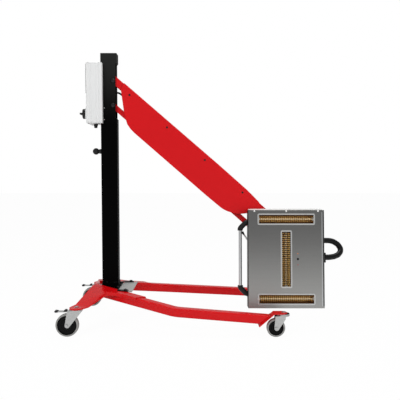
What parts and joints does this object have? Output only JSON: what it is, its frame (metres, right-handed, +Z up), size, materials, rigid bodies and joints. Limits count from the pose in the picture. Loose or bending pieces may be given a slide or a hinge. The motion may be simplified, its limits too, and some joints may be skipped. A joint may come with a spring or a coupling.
{
  "type": "mobile infrared curing lamp",
  "caption": "Wheeled stand with a parallel lifting arm, a control box on its mast and a tilting steel lamp head with caged gold reflectors.",
  "frame": {"origin": "on the floor under the middle of the lamp's box", "axes": "+Z up, +X along the legs from the mast to the head, +Y to the side away from the lamp head as parked"},
  "size_m": [1.6292, 0.7198, 1.5895],
  "materials": {
    "red_paint": "gloss red powder coat",
    "black_paint": "satin black powder coat",
    "grey_paint": "light grey powder coat",
    "white_box": "pale brushed aluminium profile",
    "brushed_head": "brushed stainless sheet",
    "gold_reflector": "gold coated, polished",
    "quartz": "clear quartz tube with ceramic ends",
    "zinc": "bright zinc plate",
    "steel": "plain bright steel",
    "black_plastic": "moulded black plastic",
    "gloss_black": "gloss black sleeve",
    "tyre_rubber": "grey non-marking rubber",
    "green_key": "green key",
    "red_key": "red key",
    "circuit_board": "green circuit board"
  },
  "bodies": {
    "chassis": {"arm_cable": "black_plastic", "balance_cylinder": "black_paint", "box_bottom_cap": "white_box", "box_top_cap": "white_box", "cable_gland": "black_plastic", "cable_peg": "black_plastic", "control_board": "circuit_board", "control_box": "white_box", "deck_plate": "grey_paint", "display_panel": "black_plastic", "left_base_arch": "red_paint", "left_base_leg": "red_paint", "left_front_pad": "red_paint", "lower_pivot_pin": "black_paint", "mast": "black_paint", "mast_cap": "black_plastic", "right_base_arch": "red_paint", "right_base_leg": "red_paint", "right_front_pad": "red_paint", "upper_pivot_pin": "black_paint"},
    "rear_right_caster": {"rear_right_fork": "zinc"},
    "rear_right_wheel_body": {"rear_right_wheel": "black_plastic", "rear_right_tyre": "tyre_rubber"},
    "rear_left_caster": {"rear_left_fork": "zinc"},
    "rear_left_wheel_body": {"rear_left_wheel": "black_plastic", "rear_left_tyre": "tyre_rubber"},
    "front_right_caster": {"front_right_fork": "zinc"},
    "front_right_wheel_body": {"front_right_wheel": "black_plastic", "front_right_tyre": "tyre_rubber"},
    "front_left_caster": {"front_left_fork": "zinc"},
    "front_left_wheel_body": {"front_left_wheel": "black_plastic", "front_left_tyre": "tyre_rubber"},
    "rear_right_pedal": {"rear_right_brake_pedal": "black_plastic"},
    "rear_left_pedal": {"rear_left_brake_pedal": "black_plastic"},
    "start_key_body": {"start_key": "green_key"},
    "stop_key_body": {"stop_key": "red_key"},
    "main_switch": {"main_switch_knob": "black_plastic"},
    "upper_arm_body": {"upper_arm": "red_paint", "arm_cover": "red_paint"},
    "lower_arm_body": {"lower_arm": "red_paint"},
    "head_carrier_body": {"head_carrier": "black_paint"},
    "head_yoke_body": {"head_yoke": "black_paint"},
    "tilt_lock": {"lock_lever": "zinc"},
    "spring_rod": {"balance_rod": "steel"},
    "fan": {"fan_rotor": "black_plastic"},
    "head": {"head_housing": "brushed_head", "head_back_cover": "brushed_head", "handle_tube": "steel", "upper_handle_elbow": "gloss_black", "lower_handle_elbow": "gloss_black", "head_lead": "gloss_black", "top_reflector": "gold_reflector", "top_lamp_tube": "quartz", "top_guard": "steel", "middle_reflector": "gold_reflector", "middle_lamp_tube": "quartz", "middle_guard": "steel", "bottom_reflector": "gold_reflector", "bottom_lamp_tube": "quartz", "bottom_guard": "steel"}
  },
  "joints": [
    {"name": "rear_right_swivel", "type": "hinge", "parent": "chassis", "child": "rear_right_caster", "pos_m": [-0.69758, -0.32, 0.155], "axis": [0, 0, 1], "continuous": true},
    {"name": "rear_right_roll", "type": "hinge", "parent": "rear_right_caster", "child": "rear_right_wheel_body", "pos_m": [-0.74958, -0.32, 0.0625], "axis": [0, 1, 0], "continuous": true},
    {"name": "rear_right_brake", "type": "hinge", "parent": "rear_right_caster", "child": "rear_right_pedal", "pos_m": [-0.73758, -0.32, 0.1365], "axis": [0, -1, 0], "range_deg": [0, 10]},
    {"name": "rear_left_swivel", "type": "hinge", "parent": "chassis", "child": "rear_left_caster", "pos_m": [-0.69758, 0.32, 0.155], "axis": [0, 0, 1], "continuous": true},
    {"name": "rear_left_roll", "type": "hinge", "parent": "rear_left_caster", "child": "rear_left_wheel_body", "pos_m": [-0.74958, 0.32, 0.0625], "axis": [0, 1, 0], "continuous": true},
    {"name": "rear_left_brake", "type": "hinge", "parent": "rear_left_caster", "child": "rear_left_pedal", "pos_m": [-0.73758, 0.32, 0.1365], "axis": [0, -1, 0], "range_deg": [0, 10]},
    {"name": "front_right_swivel", "type": "hinge", "parent": "chassis", "child": "front_right_caster", "pos_m": [0.42742, -0.325, 0.128], "axis": [0, 0, 1], "continuous": true},
    {"name": "front_right_roll", "type": "hinge", "parent": "front_right_caster", "child": "front_right_wheel_body", "pos_m": [0.38442, -0.325, 0.05], "axis": [0, 1, 0], "continuous": true},
    {"name": "front_left_swivel", "type": "hinge", "parent": "chassis", "child": "front_left_caster", "pos_m": [0.42742, 0.325, 0.128], "axis": [0, 0, 1], "continuous": true},
    {"name": "front_left_roll", "type": "hinge", "parent": "front_left_caster", "child": "front_left_wheel_body", "pos_m": [0.38442, 0.325, 0.05], "axis": [0, 1, 0], "continuous": true},
    {"name": "start_key_press", "type": "slide", "parent": "chassis", "child": "start_key_body", "axis": [1, 0, 0], "range_m": [0, 0.0015], "stiffness_N_per_m": 400, "springref_m": -0.001},
    {"name": "stop_key_press", "type": "slide", "parent": "chassis", "child": "stop_key_body", "axis": [1, 0, 0], "range_m": [0, 0.0015], "stiffness_N_per_m": 400, "springref_m": -0.001},
    {"name": "main_switch_turn", "type": "hinge", "parent": "chassis", "child": "main_switch", "pos_m": [-0.70408, 0, 1.239], "axis": [-1, 0, 0], "range_deg": [0, 90]},
    {"name": "arm_lift", "type": "hinge", "parent": "chassis", "child": "upper_arm_body", "pos_m": [-0.53958, 0, 1.429], "axis": [0, -1, 0], "range_deg": [0, 70]},
    {"name": "lower_arm_lift", "type": "hinge", "parent": "chassis", "child": "lower_arm_body", "pos_m": [-0.53958, 0, 1.286], "axis": [0, -1, 0], "range_deg": [0, 70]},
    {"name": "carrier_levelling", "type": "hinge", "parent": "upper_arm_body", "child": "head_carrier_body", "pos_m": [0.39349, 0, 0.60928], "axis": [0, -1, 0], "range_deg": [-70, 0]},
    {"name": "spring_stroke", "type": "slide", "parent": "chassis", "child": "spring_rod", "axis": [0, 0, 1], "range_m": [-0.0335, 0]},
    {"name": "head_swivel", "type": "hinge", "parent": "head_carrier_body", "child": "head_yoke_body", "pos_m": [0.46842, 0, 0.47], "axis": [0, 0, 1], "range_deg": [0, 180]},
    {"name": "head_tilt", "type": "hinge", "parent": "head_yoke_body", "child": "head", "pos_m": [0.46842, -0.047, 0.3855], "axis": [1, 0, 0], "range_deg": [0, 90]},
    {"name": "lock_lever_turn", "type": "hinge", "parent": "head_yoke_body", "child": "tilt_lock", "pos_m": [0.46842, -0.047, 0.3855], "axis": [1, 0, 0], "range_deg": [-60, 0]},
    {"name": "fan_spin", "type": "hinge", "parent": "head", "child": "fan", "pos_m": [0.35842, -0.047, 0.3855], "axis": [0, 0.9962, -0.0872], "continuous": true}
  ],
  "couplings": [
    {"joint": "lower_arm_lift", "follows": "arm_lift", "ratio": 1},
    {"joint": "carrier_levelling", "follows": "arm_lift", "ratio": -1},
    {"joint": "spring_stroke", "follows": "arm_lift", "m_per_rad": -0.02735}
  ]
}
